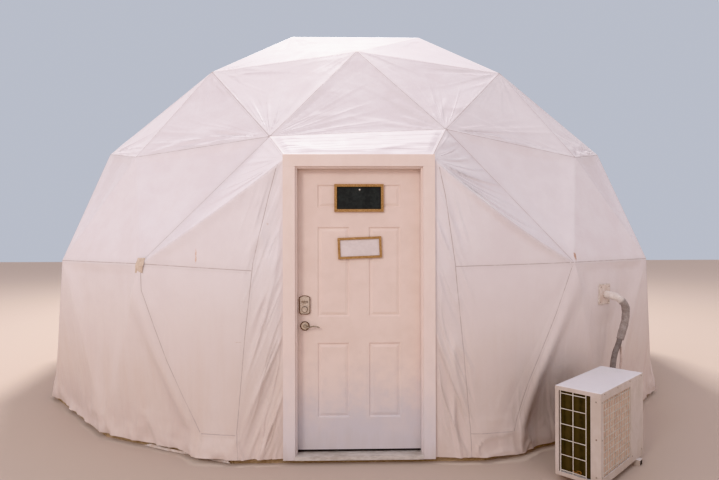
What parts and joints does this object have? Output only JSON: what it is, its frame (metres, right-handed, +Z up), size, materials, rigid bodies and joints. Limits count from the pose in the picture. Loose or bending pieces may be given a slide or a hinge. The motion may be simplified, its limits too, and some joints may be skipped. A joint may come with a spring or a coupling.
{
  "type": "geodesic dome shelter",
  "caption": "Fabric-covered geodesic dome on a steel tube frame and timber deck, with an inward-swinging panelled door and an outdoor air-conditioning unit beside it.",
  "frame": {"origin": "on the dome's vertical axis at ground level, in the underside of the floor deck", "axes": "+Z up through the crown, -Y out through the entrance door, +X to the right of someone facing the door"},
  "size_m": [7.0602, 7.4113, 4.1804],
  "materials": {
    "black_rubber": "matte",
    "casing_paint": "satin",
    "coil_fins": "matte",
    "fan_plastic": "matte",
    "floor_boards": "matte",
    "galvanised_tube": "satin",
    "guard_bars": "satin",
    "hub_steel": "satin",
    "nickel": "satin",
    "painted_leaf": "satin",
    "painted_trim": "satin",
    "pipe_wrap": "matte",
    "plate_plastic": "matte",
    "rough_timber": "matte",
    "sign_board": "matte",
    "sign_wood": "satin",
    "sill_metal": "satin",
    "valve_brass": "satin",
    "weathered_timber": "matte",
    "white_membrane": "matte"
  },
  "bodies": {
    "root": {"base_brackets": "hub_steel", "condenser_casing": "casing_paint", "condenser_coil": "coil_fins", "condenser_fan": "fan_plastic", "condenser_feet": "casing_paint", "condenser_guards": "guard_bars", "condenser_valves": "valve_brass", "cover_roof_back_left": "white_membrane", "cover_roof_back_right": "white_membrane", "cover_roof_front": "white_membrane", "cover_roof_left": "white_membrane", "cover_roof_right": "white_membrane", "cover_wall_back_left": "white_membrane", "cover_wall_back_right": "white_membrane", "cover_wall_front": "white_membrane", "cover_wall_left": "white_membrane", "cover_wall_right": "white_membrane", "door_buck": "rough_timber", "door_jambs": "painted_trim", "door_threshold": "sill_metal", "door_trim": "painted_trim", "floor_deck": "floor_boards", "frame_base_ring": "galvanised_tube", "frame_crown": "galvanised_tube", "frame_eave_ring": "galvanised_tube", "frame_roof": "galvanised_tube", "frame_shoulder": "galvanised_tube", "frame_waist_ring": "galvanised_tube", "frame_wall": "galvanised_tube", "hub_plates": "hub_steel", "jamb_hinge_leaves": "nickel", "line_set": "pipe_wrap", "portal_cheek_left": "white_membrane", "portal_cheek_right": "white_membrane", "portal_roof": "white_membrane", "portal_ties": "galvanised_tube", "sill_boards": "weathered_timber", "wall_plate": "plate_plastic"},
    "door": {"door_hinge_leaves": "nickel", "door_leaf": "painted_leaf", "door_lock": "nickel", "door_sweep": "black_rubber", "sign_boards": "sign_board", "sign_frames": "sign_wood"},
    "lever": {"door_levers": "nickel"}
  },
  "joints": [
    {"name": "door_hinge", "type": "hinge", "parent": "root", "child": "door", "pos_m": [0.4595, -3.24893, 1.08], "axis": [0, 0, -1], "range_deg": [0, 95]},
    {"name": "lever_turn", "type": "hinge", "parent": "door", "child": "lever", "pos_m": [-0.391, -3.28, 0.964], "axis": [0, 1, 0], "range_deg": [0, 50], "stiffness_Nm_per_rad": 1, "springref_deg": -11.46}
  ]
}
